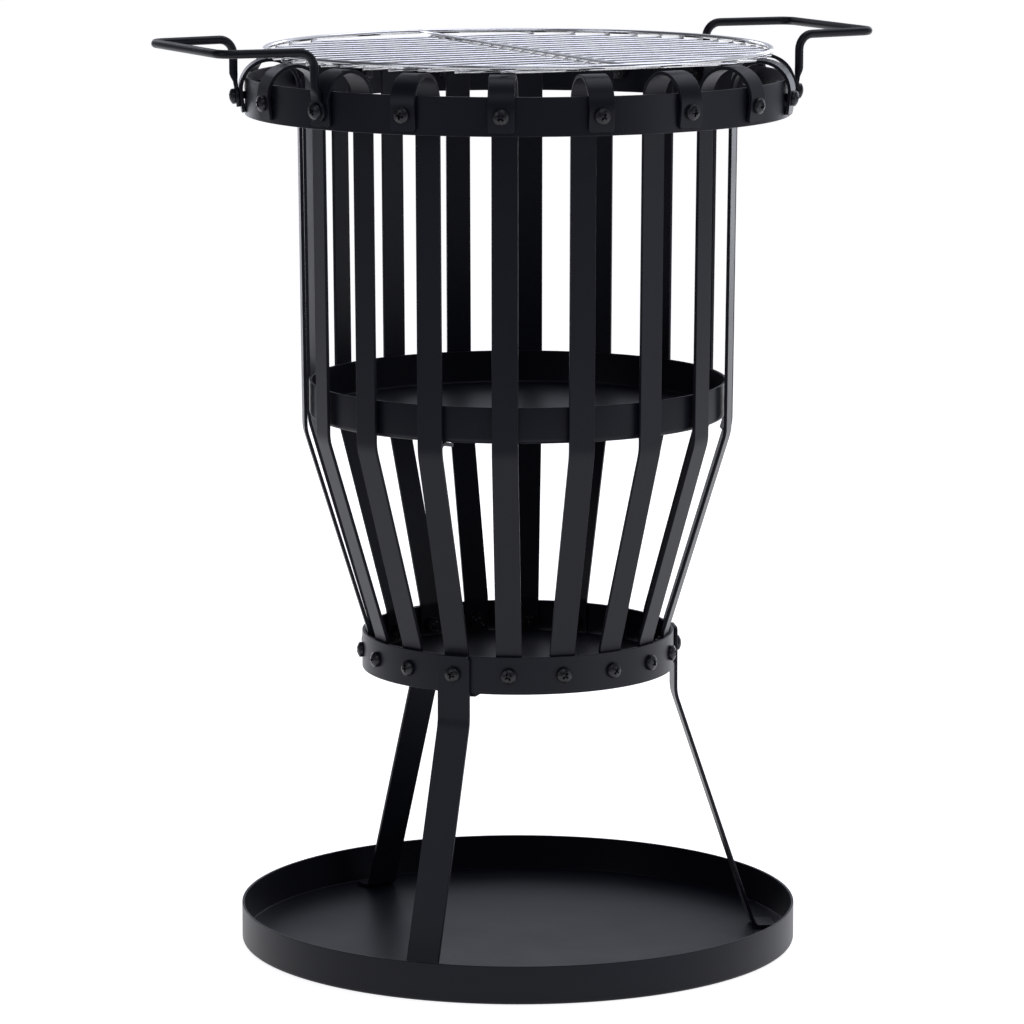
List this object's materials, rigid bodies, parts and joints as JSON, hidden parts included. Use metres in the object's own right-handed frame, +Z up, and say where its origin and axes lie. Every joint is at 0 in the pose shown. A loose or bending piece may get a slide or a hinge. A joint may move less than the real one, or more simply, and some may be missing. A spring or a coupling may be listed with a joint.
{
  "type": "fire pit",
  "caption": "Round garden fire basket of flared steel strips on three legs, standing loose in an ash tray, with a lift-out fire dish, a lift-off wire grate and two wire handles.",
  "frame": {"origin": "centre of the underside of the ash tray", "axes": "+Z up, the two handles on +X and -X"},
  "size_m": [0.425, 0.33, 0.54],
  "materials": {
    "black_sheet": "black heat-proof coating, satin",
    "black_bar": "black heat-proof coating, satin",
    "black_wire": "black coating, satin",
    "black_fastener": "black zinc plating",
    "chrome_wire": "bright chrome plating"
  },
  "bodies": {
    "tray": {"ash_tray": "black_sheet"},
    "basket": {"lower_ring": "black_bar", "lower_ring_lap": "black_bar", "floor_plate": "black_sheet", "top_ring": "black_bar", "leg_front": "black_bar", "leg_right": "black_bar", "leg_back": "black_bar", "strip_01": "black_bar", "strip_02": "black_bar", "strip_03": "black_bar", "strip_04": "black_bar", "strip_05": "black_bar", "strip_06": "black_bar", "strip_07": "black_bar", "strip_08": "black_bar", "strip_09": "black_bar", "strip_10": "black_bar", "strip_11": "black_bar", "strip_12": "black_bar", "strip_13": "black_bar", "strip_14": "black_bar", "strip_15": "black_bar", "strip_16": "black_bar", "strip_17": "black_bar", "strip_18": "black_bar", "dish_ledge_front": "black_bar", "dish_ledge_right": "black_bar", "dish_ledge_back": "black_bar", "handle_left": "black_wire", "handle_right": "black_wire", "lower_ring_screws": "black_fastener", "leg_screws": "black_fastener", "lower_ring_nuts": "black_fastener", "top_ring_screws": "black_fastener", "handle_screws": "black_fastener", "top_ring_nuts": "black_fastener"},
    "dish": {"fire_dish": "black_sheet"},
    "grate": {"grate_rim": "chrome_wire", "grate_bars": "chrome_wire", "grate_cross_wire": "chrome_wire"}
  },
  "joints": [
    {"name": "basket_lift", "type": "slide", "parent": "tray", "child": "basket", "axis": [0, 0, 1], "range_m": [0, 0.06]},
    {"name": "dish_lift", "type": "slide", "parent": "basket", "child": "dish", "axis": [0, 0, 1], "range_m": [0, 0.18]},
    {"name": "grate_lift", "type": "slide", "parent": "basket", "child": "grate", "axis": [0, 0, 1], "range_m": [0, 0.1]}
  ]
}
